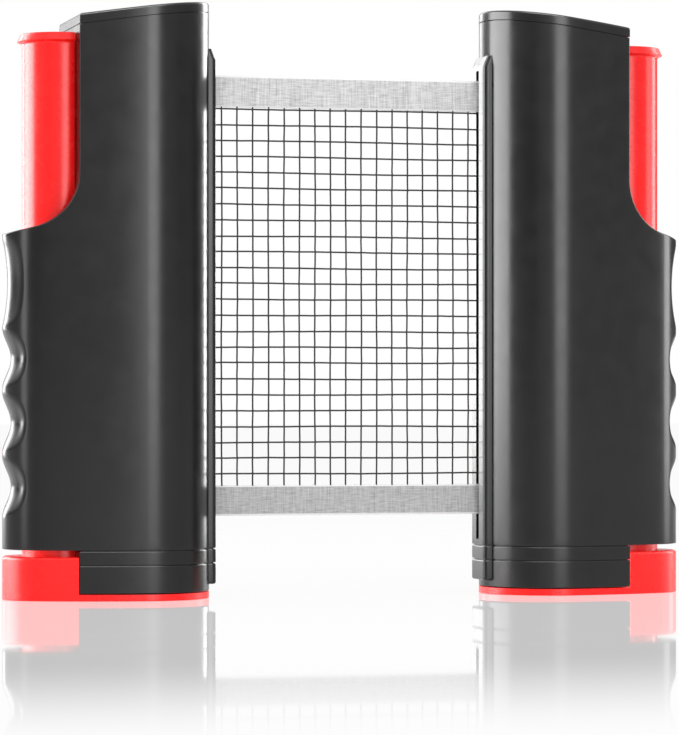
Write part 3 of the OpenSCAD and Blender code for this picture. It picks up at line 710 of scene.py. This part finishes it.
def make_upper_jaw(material):
    jaw = prism("jaw", inboard, JAW_Z, RING_Z, 0.3, 0.35, groove1=SEAM_H)
    ridge = prism("ridge", jaw_ridge, JAW_Z + WALL, RING_Z, 0.8, 0.5, groove1=SEAM_H)
    combine(jaw, ridge, "UNION")
    pad_z = JAW_Z + PAD_HIGH.z - PAD_LOW.z
    combine(jaw, pad_place(JAW_Z - CUT, pad_z))
    for u, v, _ in base_screw_places():
        combine(jaw, rod(u, v, SCREW_R + FIT_GAP, JAW_Z - CUT, RING_Z + CUT))
        combine(jaw, rod(u, v, HEAD_R + RUN_GAP, JAW_Z - CUT, pad_z + BASE_HEAD_T))
    on_both_posts(smooth(jaw), "upper_jaw", "post", material, "black_plastic", "upper_jaw")


def make_lower_jaw(material):
    """Plate, upright back and stem in one."""
    jaw = prism("jaw", whole, 0, SPINE_Z, 0.3, 1.1, 6)
    combine(jaw, block(-CUT, BAY_U + RUN_GAP, -FAR, FAR, PLATE_T, SPINE_Z + CUT))
    combine(jaw, prism("stem", half_round, PLATE_T, JOINT_Z), "UNION")
    combine(jaw, prism("spigot", lambda _: half_round(PLUNGER_WALL + FIT_GAP),
                       JOINT_Z - CUT, SPIGOT_Z), "UNION")
    combine(jaw, pad_place(LOWER_PAD_Z, SPINE_Z))
    combine(jaw, prism("core", lambda _: half_round(2 * PLUNGER_WALL), PLATE_T, SPIGOT_Z - PLATE_T))
    drill_pins(jaw)
    on_both_posts(smooth(jaw), "lower_jaw", "jaw", material, "red_plastic", "lower_jaw")


def dished(rim, top, steps=26):
    """Loops from the rim of the plunger's top to its middle, sunk to the thumb dish."""
    centre = Vector(((PLUNGER_BACK + PLUNGER_U + PLUNGER_R) / 2, 0))
    loops = []
    for i in range(1, steps):
        loop = []
        for p in rim:
            q = centre + (p - centre) * (1 - i / steps)
            away = (q - centre).length
            dip = math.sqrt(max(DISH_R ** 2 - away ** 2, 0)) - (DISH_R - DISH_DEPTH)
            soft = 0.5 * (dip + math.sqrt(dip * dip + DISH_SOFT))
            loop.append((q.x, q.y, top - soft))
        loops.append(loop)
    return loops


def make_plunger(material):
    top = PLUNGER_HIGH.z
    lip_z = top - RIM_T - 0.3
    profile = [(0.2, JOINT_Z), (0.0, JOINT_Z + 0.2), (0.0, lip_z - 1.3), (-0.25, lip_z - 0.75)]
    profile += [(-RIM_OUT + 0.35, lip_z - 0.3), (-RIM_OUT + 0.05, lip_z - 0.15), (-RIM_OUT, lip_z)]
    profile += [(-RIM_OUT * 0.45 + RIM_EDGE * (1 - math.cos(a)), top - RIM_EDGE * (1 - math.sin(a)))
                for a in [math.pi / 12 * i for i in range(7)]]
    loops = [[(u, v, z) for u, v in half_round(inset, PLUNGER_BACK + max(inset, 0))]
             for inset, z in profile]
    plunger = loft("plunger", loops + dished([Vector(p[:2]) for p in loops[-1]], top))
    for name, z0, z1 in (("channel", JOINT_Z - CUT, SHELF_Z),
                         ("hollow", SHELF_Z + SHELF_T, top - RIM_T - RIM_SLOPE)):
        combine(plunger, prism(name, lambda _: half_round(PLUNGER_WALL, BAY_U), z0, z1))
    drill_pins(plunger)
    on_both_posts(smooth(plunger), "thumb_plunger", "jaw", material, "red_plastic", "thumb_plunger")


def make_return_spring(material):
    """The return springs between the post's seat and the plunger's shelf, copied as the CAD nodes
    stand; the real springs shorten, these copies keep their length.
    """
    for side in ("left", "right"):
        node = frame["nodes"][f"{side}_return_spring"]
        spring = bpy.data.objects.new(f"{side}_return_spring_look", node.data.copy())
        bpy.context.scene.collection.objects.link(spring)
        spring.data.materials.clear()
        spring.data.materials.append(material)
        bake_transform(spring)
        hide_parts(node.name)


# --- Net ---

NET_COLUMNS = 17
NET_ROWS = 24
THREAD_R = 0.29
WEAVE = 0.16                             # how far a cord sways from the net's plane at a knot
KNOT = 1.2                               # length over which it does so
TUCK = 0.6                               # how far the upright cords reach into the tapes


def add_tube(bm, points, radius, sides=6):
    """A tube along points, with flat ends; returns its rings of vertices."""
    rings = []
    for i, p in enumerate(points):
        ahead = points[min(i + 1, len(points) - 1)]
        behind = points[max(i - 1, 0)]
        along = (ahead - behind).normalized()
        across = along.cross(Vector((0, 1, 0))).normalized()
        up = across.cross(along)
        rings.append([bm.verts.new(p + radius * (math.cos(a) * across + math.sin(a) * up))
                      for a in [2 * math.pi * k / sides for k in range(sides)]])
    for low, high in zip(rings, rings[1:]):
        for k in range(sides):
            j = (k + 1) % sides
            bm.faces.new((low[k], low[j], high[j], high[k]))
    bm.faces.new(list(reversed(rings[0])))
    bm.faces.new(rings[-1])
    return rings


def blend_share(x):
    """Share of the way from the left post, 0, to the right post, 1, for a point of the net at x."""
    return min(max(0.5 + x / (2 * HALF_GAP), 0.0), 1.0)


def blended(piece):
    """Bakes a piece's placement into its mesh."""
    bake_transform(piece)


def net_grid():
    """Heights of the level threads and places of the upright ones."""
    top = TOP_TAPE_LOW.z - 0.4
    pitch = (top - LOW_TAPE_HIGH.z - 3.8) / (NET_ROWS - 1)
    reach = HALF_GAP - 3.5
    return ([top - pitch * i for i in range(NET_ROWS)],
            [-reach + 2 * reach * i / (NET_COLUMNS - 1) for i in range(NET_COLUMNS)])


def make_net(material):
    rng = random.Random(7)
    levels, uprights = net_grid()
    end = TOP_TAPE_HIGH.x
    low = LOW_TAPE_HIGH.z - TUCK
    high = TOP_TAPE_LOW.z + TUCK
    bm = bmesh.new()
    shares = []

    for row, z in enumerate(levels):
        drift = rng.uniform(-0.12, 0.12)
        xs = [-end] + [x + d for x in uprights for d in (-KNOT, 0.0, KNOT)] + [end]
        xs = sorted(x for x in xs if -end <= x <= end)
        points = []
        for x in xs:
            near = min(range(len(uprights)), key=lambda k: abs(uprights[k] - x))
            lift = WEAVE * (1 if (near + row) % 2 else -1) if abs(uprights[near] - x) < 0.1 else 0
            sag = 0.12 * math.sin(3.1 * x / HALF_GAP + row)
            points.append(Vector((x, lift, z + drift + sag + rng.uniform(-0.04, 0.04))))
        for ring in add_tube(bm, points, THREAD_R):
            shares += [blend_share(ring[0].co.x)] * len(ring)

    for column, x in enumerate(uprights):
        zs = [low] + [z + d for z in reversed(levels) for d in (-KNOT, 0.0, KNOT)]
        zs = [z for z in zs if z < high] + [high]
        points = []
        for z in zs:
            near = min(range(len(levels)), key=lambda k: abs(levels[k] - z))
            lift = WEAVE * (-1 if (near + column) % 2 else 1) if abs(levels[near] - z) < 0.1 else 0
            sway = 0.1 * math.sin(z / 17 + column)
            points.append(Vector((x + sway + rng.uniform(-0.05, 0.05), lift, z)))
        for ring in add_tube(bm, points, THREAD_R):
            shares += [blend_share(x)] * len(ring)

    for face in bm.faces:
        face.smooth = True
    net = make_object("net_netting", bm)
    net.data.transform(Matrix.Scale(MM, 4))
    net.data.materials.append(material)
    blended(net)
    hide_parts("net_mesh")


def make_tape(name, node, low, high, material):
    """A folded fabric band with a slight crown and a rolled selvedge at both edges."""
    half = (high.z - low.z) / 2
    middle = (high.z + low.z) / 2
    thick = (high.y - low.y) / 2
    section = []
    for side in (-1, 1):
        for i in range(15):
            t = -1 + 2 * i / 14
            crown = 0.72 + 0.16 * (1 - t * t) + 0.12 * math.exp(-((abs(t) - 0.93) / 0.05) ** 2)
            taper = 1 - 0.75 * max(abs(t) - 0.95, 0) / 0.05
            section.append((side * thick * crown * taper, -side * t * half))
    bm = bmesh.new()
    rings = []
    shares = []
    steps = 130
    for i in range(steps + 1):
        x = low.x + (high.x - low.x) * i / steps
        wave = 0.05 * math.sin(x * 0.5 + half) + 0.03 * math.sin(x * 1.7)
        spread_z = 0.994 + 0.004 * math.sin(x)
        rings.append([bm.verts.new((x, y + 0.5 * wave, middle + z * spread_z)) for y, z in section])
        shares += [blend_share(x)] * len(section)
    count = len(section)
    for a, b in zip(rings, rings[1:]):
        for i in range(count):
            j = (i + 1) % count
            bm.faces.new((a[i], a[j], b[j], b[i]))
    bm.faces.new(rings[0])
    bm.faces.new(list(reversed(rings[-1])))
    for face in bm.faces:
        face.smooth = True
    bmesh.ops.recalc_face_normals(bm, faces=bm.faces[:])
    tape = make_object(name, bm)
    tape.data.transform(Matrix.Scale(MM, 4))
    tape.data.materials.append(material)
    blended(tape)
    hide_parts(node)


# --- Materials ---


WHITE = (1, 1, 1, 1)
NOISE_SPAN = (0.25, 0.75)                # the values that a noise texture mostly takes
SELVEDGE = (0.75, 0.45)                  # a tape's edge to where its selvedge starts and is full


def feed(tree, node, inputs):
    """Sets a node's inputs, or links those whose value is another node's output."""
    for key, value in dict(inputs).items():
        if isinstance(value, bpy.types.NodeSocket):
            tree.links.new(value, node.inputs[key])
        else:
            node.inputs[key].default_value = value


def outputs_of(tree, kind, inputs=(), **settings):
    """The outputs of a new node."""
    node = tree.nodes.new("ShaderNode" + kind)
    for key, value in settings.items():
        setattr(node, key, value)
    feed(tree, node, inputs)
    return node.outputs


def emptied(holder):
    """The node tree of a material or world, without its nodes."""
    holder.use_nodes = True
    holder.node_tree.nodes.clear()
    return holder.node_tree


def nodes_of(name):
    material = bpy.data.materials.new(name)
    tree = emptied(material)
    output = tree.nodes.new("ShaderNodeOutputMaterial")
    shader = tree.nodes.new("ShaderNodeBsdfPrincipled")
    tree.links.new(shader.outputs["BSDF"], output.inputs["Surface"])
    return material, tree, shader


def noise(tree, scale, detail=3.0, stretch=(1, 1, 1), roughness=0.5):
    """A noise texture in the piece's own coordinates; scale is in waves a metre."""
    place = outputs_of(tree, "TexCoord")["Object"]
    stretched = outputs_of(tree, "Mapping", {"Vector": place, "Scale": stretch})["Vector"]
    return outputs_of(tree, "TexNoise", {"Vector": stretched, "Scale": scale, "Detail": detail,
                                         "Roughness": roughness})["Fac"]


def ramp(tree, value, stops):
    """Colours at stops, as (position, (r, g, b)) pairs."""
    node = tree.nodes.new("ShaderNodeValToRGB")
    while len(node.color_ramp.elements) < len(stops):
        node.color_ramp.elements.new(0.5)
    for element, (position, colour) in zip(node.color_ramp.elements, stops):
        element.position = position
        element.color = (*colour, 1)
    tree.links.new(value, node.inputs["Fac"])
    return node.outputs["Color"]


def math_node(tree, operation, *values):
    return outputs_of(tree, "Math", enumerate(values), operation=operation)[0]


def mapped(tree, value, source, target=(0.0, 1.0), kind="LINEAR"):
    """The value with its source range laid on the target range."""
    ends = {"From Min": source[0], "From Max": source[1], "To Min": target[0], "To Max": target[1]}
    return outputs_of(tree, "MapRange", {"Value": value, **ends}, interpolation_type=kind)["Result"]


def mixed_colour(tree, share, first, second):
    return outputs_of(tree, "MixRGB", {"Fac": share, "Color1": first, "Color2": second})["Color"]


def mixed_shader(tree, share, first, second):
    return outputs_of(tree, "MixShader", {"Fac": share, 1: first, 2: second})[0]


def split_place(tree, space):
    """X, Y and Z in a space of the texture coordinates."""
    place = outputs_of(tree, "TexCoord")[space]
    return outputs_of(tree, "SeparateXYZ", {"Vector": place})


def bump(tree, value, distance, strength):
    inputs = {"Height": value, "Distance": distance, "Strength": strength}
    return outputs_of(tree, "Bump", inputs)["Normal"]


def plastic(name, dark, light, rough, specular):
    """Moulded plastic: faint flow marks in colour and gloss, and a fine moulded grain."""
    material, tree, shader = nodes_of(name)
    flow = noise(tree, 45, 4, (1, 1, 0.35))
    feed(tree, shader, {
        "Base Color": ramp(tree, flow, [(0.3, dark), (0.7, light)]),
        "Roughness": mapped(tree, noise(tree, 160, 5), NOISE_SPAN, rough),
        "Specular IOR Level": specular,
        "Normal": bump(tree, noise(tree, 5200, 2), 0.000007, 0.35),
    })
    return material


def metal(name, colour, rough, grain=(1, 1, 40)):
    """Bright metal with drawing or turning marks."""
    material, tree, shader = nodes_of(name)
    marks = noise(tree, 900, 4, grain)
    dark = tuple(c * 0.82 for c in colour)
    feed(tree, shader, {
        "Base Color": ramp(tree, marks, [(0.3, dark), (0.7, colour)]),
        "Roughness": mapped(tree, marks, NOISE_SPAN, rough),
        "Metallic": 1.0,
        "Normal": bump(tree, marks, 0.00001, 0.4),
    })
    return material


def rubber(name):
    material, tree, shader = nodes_of(name)
    marks = noise(tree, 1400, 4)
    tones = [(0.3, (0.028, 0.028, 0.03)), (0.7, (0.05, 0.05, 0.052))]
    feed(tree, shader, {
        "Base Color": ramp(tree, marks, tones),
        "Roughness": 0.82,
        "Normal": bump(tree, marks, 0.00006, 0.6),
    })
    return material


def cord(name):
    """Dark knitted net cord."""
    material, tree, shader = nodes_of(name)
    twist = noise(tree, 2600, 3)
    tones = [(0.3, (0.008, 0.008, 0.009)), (0.75, (0.045, 0.045, 0.048))]
    feed(tree, shader, {
        "Base Color": ramp(tree, twist, tones),
        "Roughness": 0.7,
        "Normal": bump(tree, twist, 0.00005, 0.7),
    })
    return material


def tape_cloth(name, level, low, high):
    """Heathered grey weave with pale selvedges, for a band from low to high."""
    material, tree, shader = nodes_of(name)
    warp = noise(tree, 1, 2, (2300, 300, 90), 0.6)
    weft = noise(tree, 1, 2, (260, 300, 2600), 0.6)
    woven = math_node(tree, "MULTIPLY", math_node(tree, "ADD", warp, weft), 0.5)
    tones = [(0.34, (level * 0.66,) * 3), (0.5, (level,) * 3), (0.66, (level * 1.3,) * 3)]

    height = split_place(tree, "Object")["Z"]
    middle = (low.z + high.z) / 2 * MM
    half = (high.z - low.z) / 2
    away = math_node(tree, "ABSOLUTE", math_node(tree, "SUBTRACT", height, middle))
    selvedge = mapped(tree, away, [(half - inset) * MM for inset in SELVEDGE])
    feed(tree, shader, {
        "Base Color": mixed_colour(tree, selvedge, ramp(tree, woven, tones), (0.9, 0.9, 0.9, 1)),
        "Roughness": 0.85,
        "Sheen Weight": 0.25,
        "Normal": bump(tree, woven, 0.00018, 0.8),
    })
    return material


# --- What stays of the frame ---


def dress_frame(materials):
    """Materials for the CAD nodes that stay."""
    kinds = {
        "rubber": ("upper_pad", "lower_pad"),
        "steel": ("plunger_pins", "winding_spring"),
        "zinc": ("spring_seat", "roller_arbor", "case_screws", "base_screws"),
        "tube": ("net_roller_tube",),
        "black": ("roller_lower_plug", "roller_upper_plug"),
        "cord": ("net_roll", "net_leader"),
    }
    for side in ("left", "right"):
        for kind, names in kinds.items():
            for name in names:
                node = frame["nodes"][f"{side}_{name}"]
                node.data.materials.clear()
                node.data.materials.append(materials[kind])


# --- Studio ---

# Brightness that glossy surfaces see at eye level, by azimuth in degrees: 0 in front, + towards +X
STUDIO = [(-180, 1.0), (-160, 1.0), (-148, 0.25), (-111, 0.25), (-62, 0.2), (-52, 0.05),
          (-36, 0.05), (-29, 0.4), (-22, 0.5), (-9, 0.45), (0, 0.7), (20, 0.75), (30, 0.25),
          (38, 0.4), (48, 0.4), (56, 0.25), (105, 0.25), (118, 0.12), (148, 0.12), (158, 1.0),
          (180, 1.0)]
STUDIO_TOP = (0.12, 0.2)                 # height at which the studio turns evenly white
FOCAL_PX = 3744                          # the fitted camera's focal length in the photo's pixels
PHOTO_W = 679
SENSOR_W = 36.0
FLOOR_REACH = 9.0                        # metres
FLOOR_GLOW = 0.85                        # share of glow in the floor, as the camera sees it
MIRROR_START = (-0.55, -0.30)            # Y over which the floor's mirror image comes up
MIRROR_END = (0.45, 1.0)                 # distance from the origin over which it goes down again
MIRROR_SHARE = 0.44
AIM_Z = 0.1                              # height on the part that the lights face


def make_camera():
    data = bpy.data.cameras.new("camera")
    data.sensor_fit = "HORIZONTAL"
    data.sensor_width = SENSOR_W
    data.lens = FOCAL_PX / PHOTO_W * SENSOR_W
    data.shift_x = -0.00942
    data.shift_y = 0.04787
    data.clip_end = 60
    camera = bpy.data.objects.new("camera", data)
    camera.location = (-0.3285, -1.2658, 0.0681)
    camera.rotation_euler = (math.pi / 2, 0, math.radians(-14.55))
    bpy.context.scene.collection.objects.link(camera)
    bpy.context.scene.camera = camera


def floor_material():
    """White that glows for the camera, with a mirror image near the part."""
    material = bpy.data.materials.new("floor")
    tree = emptied(material)
    white = outputs_of(tree, "BsdfDiffuse", {"Color": (0.95, 0.95, 0.95, 1)})[0]
    glow = outputs_of(tree, "Emission", {"Color": WHITE, "Strength": 1.0})[0]
    gloss = outputs_of(tree, "BsdfGlossy", {"Color": WHITE, "Roughness": 0.03})[0]
    rays = outputs_of(tree, "LightPath")
    seen = math_node(tree, "MAXIMUM", rays["Is Camera Ray"], rays["Is Glossy Ray"])
    surface = mixed_shader(tree, math_node(tree, "MULTIPLY", seen, FLOOR_GLOW), white, glow)

    depth = split_place(tree, "Object")["Y"]
    fade = mapped(tree, depth, MIRROR_START, (0.0, MIRROR_SHARE), "SMOOTHSTEP")
    place = outputs_of(tree, "TexCoord")["Object"]
    distance = outputs_of(tree, "VectorMath", {0: place}, operation="LENGTH")["Value"]
    near = mapped(tree, distance, MIRROR_END, (1.0, 0.0), "SMOOTHSTEP")
    polished = mixed_shader(tree, math_node(tree, "MULTIPLY", fade, near), surface, gloss)
    feed(tree, tree.nodes.new("ShaderNodeOutputMaterial"), {"Surface": polished})
    return material


def make_floor():
    """White glossy table top; its mirror image of the post fades towards the viewer."""
    bm = bmesh.new()
    bm.faces.new([bm.verts.new((FLOOR_REACH * x, FLOOR_REACH * y, 0))
                  for x, y in ((-1, -1), (1, -1), (1, 1), (-1, 1))])
    floor = make_object("floor", bm)
    floor.data.materials.append(floor_material())


def make_world():
    """White all round for the camera, the studio for reflections, and a softer white as light."""
    world = bpy.data.worlds.new("studio")
    bpy.context.scene.world = world
    tree = emptied(world)
    place = split_place(tree, "Generated")
    azimuth = math_node(tree, "ARCTAN2", place["X"], math_node(tree, "MULTIPLY", place["Y"], -1.0))
    turn = math_node(tree, "MULTIPLY_ADD", azimuth, 0.5 / math.pi, 0.5)
    round_studio = ramp(tree, turn, [(a / 360 + 0.5, (b, b, b)) for a, b in STUDIO])
    rise = mapped(tree, math_node(tree, "ABSOLUTE", place["Z"]), STUDIO_TOP)
    studio = mixed_colour(tree, rise, round_studio, WHITE)
    rays = outputs_of(tree, "LightPath")
    direct = mixed_colour(tree, rays["Is Camera Ray"], studio, WHITE)
    looks = math_node(tree, "MAXIMUM", rays["Is Camera Ray"], rays["Is Glossy Ray"])
    looks = math_node(tree, "MAXIMUM", looks, rays["Is Transmission Ray"])
    light = outputs_of(tree, "Background", {"Color": WHITE, "Strength": 0.75})[0]
    seen = outputs_of(tree, "Background", {"Color": direct, "Strength": 1.0})[0]
    feed(tree, tree.nodes.new("ShaderNodeOutputWorld"),
         {"Surface": mixed_shader(tree, looks, light, seen)})


def soft_box(name, azimuth, elevation, distance, width, tall, radiance, lit=None, shaded=True):
    """A soft light facing the part; azimuth 0 is in front and grows towards +X.

    Where lit is given, the light falls on those pieces only, as if flagged off from the rest, and
    only they shade it, or nothing does.
    """
    data = bpy.data.lights.new(name, "AREA")
    data.shape = "RECTANGLE"
    data.size = width
    data.size_y = tall
    data.energy = radiance * math.pi * width * tall
    lamp = bpy.data.objects.new(name, data)
    a = math.radians(azimuth)
    e = math.radians(elevation)
    lamp.location = (distance * math.sin(a) * math.cos(e), -distance * math.cos(a) * math.cos(e),
                     AIM_Z + distance * math.sin(e))
    aim = Vector((0, 0, AIM_Z)) - lamp.location
    lamp.rotation_euler = aim.to_track_quat("-Z", "Y").to_euler()
    bpy.context.scene.collection.objects.link(lamp)
    if lit:
        flagged = bpy.data.collections.new(name)
        for piece in lit:
            flagged.objects.link(piece)
        linking = lamp.light_linking
        linking.receiver_collection = flagged
        linking.blocker_collection = flagged if shaded else bpy.data.collections.new(name + "_none")


def make_lights(black, red):
    looks = [o for o in bpy.data.objects if o.name.endswith("_look")]
    reds = [o for o in looks if o.data.materials[0] == red]
    blacks = [o for o in looks if o.data.materials[0] == black]
    left_black = [o for o in blacks if o.name.startswith("left_")]
    right_black = [o for o in blacks if o.name.startswith("right_")]
    part = [o for o in bpy.data.objects if o.type == "MESH" and o.name != "floor"]
    soft_box("front_box", 9, 5, 2.2, 0.74, 1.9, 4.6, part)
    soft_box("left_box", -107, 4, 1.7, 1.5, 1.9, 8.8, right_black)
    soft_box("left_flare", -116, 4, 1.7, 1.3, 1.9, 11.0, reds)
    soft_box("left_fill", -76, 4, 1.7, 0.42, 1.9, 3.4, left_black)
    soft_box("left_rim", -153, 4, 1.8, 0.5, 1.9, 6.0, left_black + reds)
    soft_box("ridge_box", -166, 4, 1.8, 0.4, 1.9, 5.5, right_black)
    soft_box("inner_rim", 131, 4, 1.8, 0.45, 1.9, 15.0, left_black, False)
    soft_box("right_box", 86, 4, 1.7, 0.7, 1.9, 6.5, right_black)
    soft_box("right_flare", 106, 4, 1.7, 0.5, 1.9, 6.0, reds)
    soft_box("red_fill", 78, 6, 1.7, 0.5, 1.9, 3.0, reds)
    soft_box("edge_box", -10, 56, 1.8, 1.8, 1.0, 8.0, left_black + right_black)
    soft_box("top_box", 0, 78, 1.8, 1.8, 1.4, 0.9)


# --- Making ---

make_camera()
black = plastic("black_plastic", (0.002, 0.002, 0.0022), (0.0036, 0.0036, 0.0038),
                (0.21, 0.27), 0.5)
red = plastic("red_plastic", (0.86, 0.004, 0.004), (0.95, 0.008, 0.007), (0.24, 0.3), 0.45)
materials = {
    "black": black,
    "rubber": rubber("pad_rubber"),
    "steel": metal("spring_steel", (0.62, 0.61, 0.60), (0.22, 0.34)),
    "zinc": metal("zinc_steel", (0.68, 0.69, 0.71), (0.25, 0.4)),
    "tube": metal("tube_aluminium", (0.78, 0.79, 0.80), (0.3, 0.42)),
    "cord": cord("net_cord"),
}
top_cloth = tape_cloth("top_tape_cloth", 0.58, TOP_TAPE_LOW, TOP_TAPE_HIGH)
low_cloth = tape_cloth("bottom_tape_cloth", 0.42, LOW_TAPE_LOW, LOW_TAPE_HIGH)

make_housing(black)
make_cap(black)
make_ring(black)
make_upper_jaw(black)
make_lower_jaw(red)
make_plunger(red)
make_return_spring(materials["steel"])
make_net(materials["cord"])
make_tape("top_tape", "net_top_tape", TOP_TAPE_LOW, TOP_TAPE_HIGH, top_cloth)
make_tape("bottom_tape", "net_bottom_tape", LOW_TAPE_LOW, LOW_TAPE_HIGH, low_cloth)
dress_frame(materials)

make_floor()
make_world()
make_lights(black, red)

bpy.context.scene.view_settings.view_transform = "Standard"
